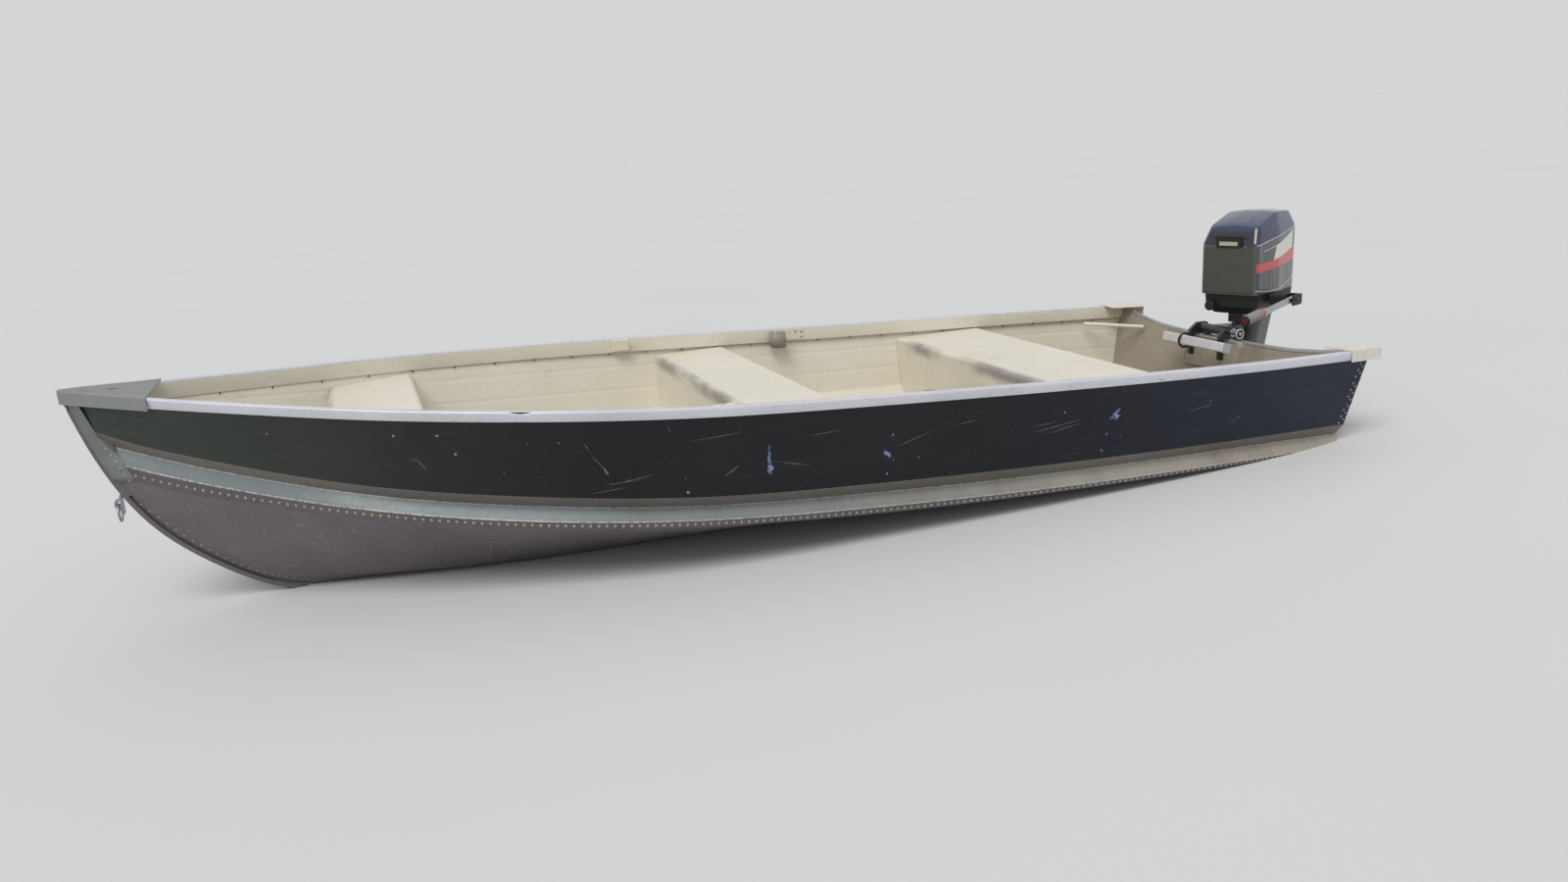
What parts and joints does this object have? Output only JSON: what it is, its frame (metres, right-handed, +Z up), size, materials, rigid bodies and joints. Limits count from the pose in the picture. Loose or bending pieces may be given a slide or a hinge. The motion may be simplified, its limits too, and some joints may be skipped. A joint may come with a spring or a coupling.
{
  "type": "rowing boat",
  "caption": "Open riveted metal rowing boat with three benches, afloat, with a tiller-steered outboard motor that tilts, steers and turns its propeller.",
  "frame": {"origin": "on the centreline amidships, at the water surface", "axes": "+X to the bow, +Y to port, +Z up; the hull floats 2 degrees bow-up"},
  "size_m": [4.7034, 1.5892, 1.3089],
  "materials": {
    "hull_paint": "worn dark paint over riveted sheet",
    "bare_aluminium": "dull weathered sheet and extrusion",
    "inside_paint": "cream paint, dirty",
    "cowl_gloss": "glossy moulded hood with a plain stripe",
    "black_plastic": "moulded",
    "motor_paint": "dark enamel",
    "bright_steel": "worn bright",
    "pad_board": "painted pad",
    "grip_rubber": "ribbed",
    "galvanised": "galvanised box section",
    "engine_block": "plain block",
    "brass_plug": "dull"
  },
  "bodies": {
    "hull": {"side_port": "hull_paint", "side_starboard": "hull_paint", "bottom_port": "bare_aluminium", "bottom_starboard": "bare_aluminium", "keel": "bare_aluminium", "transom": "bare_aluminium", "transom_pad_inner": "pad_board", "transom_pad_outer": "pad_board", "gunwale_port": "bare_aluminium", "gunwale_starboard": "bare_aluminium", "bow_cap": "bare_aluminium", "bow_bench": "inside_paint", "middle_bench": "inside_paint", "stern_bench": "inside_paint", "floor_frames": "inside_paint", "bow_eye": "bright_steel", "bow_ring": "bright_steel", "corner_cap_port": "bare_aluminium", "corner_cap_starboard": "bare_aluminium", "corner_brace_port": "bare_aluminium", "corner_brace_starboard": "bare_aluminium", "rowlock_socket_port": "bare_aluminium", "rowlock_socket_starboard": "bare_aluminium", "drain_plug": "brass_plug", "tilt_tube": "bright_steel", "clamp_bracket_port": "motor_paint", "clamp_bracket_starboard": "motor_paint", "clamp_screw_port": "bright_steel", "clamp_screw_starboard": "bright_steel", "lock_bar": "galvanised"},
    "swivel": {"swivel_bracket": "motor_paint"},
    "motor": {"steering_yoke": "motor_paint", "driveshaft_housing": "motor_paint", "gearcase": "motor_paint", "lower_cowl": "black_plastic", "upper_cowl": "cowl_gloss", "powerhead": "engine_block", "recoil_handle": "black_plastic", "choke_knob": "black_plastic", "tiller_bracket": "black_plastic", "tiller_arm": "bare_aluminium", "tiller_grip": "grip_rubber"},
    "propeller": {"propeller": "motor_paint", "propeller_shaft": "bright_steel"}
  },
  "joints": [
    {"name": "tilt", "type": "hinge", "parent": "hull", "child": "swivel", "pos_m": [-2.1042, -0.045, 0.31276], "axis": [0, 1, 0], "range_deg": [0, 60]},
    {"name": "steer", "type": "hinge", "parent": "swivel", "child": "motor", "pos_m": [-2.22013, -0.045, 0.30871], "axis": [-0.0349, 0, 0.9994], "range_deg": [-62, 18]},
    {"name": "propeller_spin", "type": "hinge", "parent": "motor", "child": "propeller", "pos_m": [-2.4585, -0.15064, -0.35702], "axis": [0.9266, 0.3746, 0.0324], "continuous": true}
  ]
}
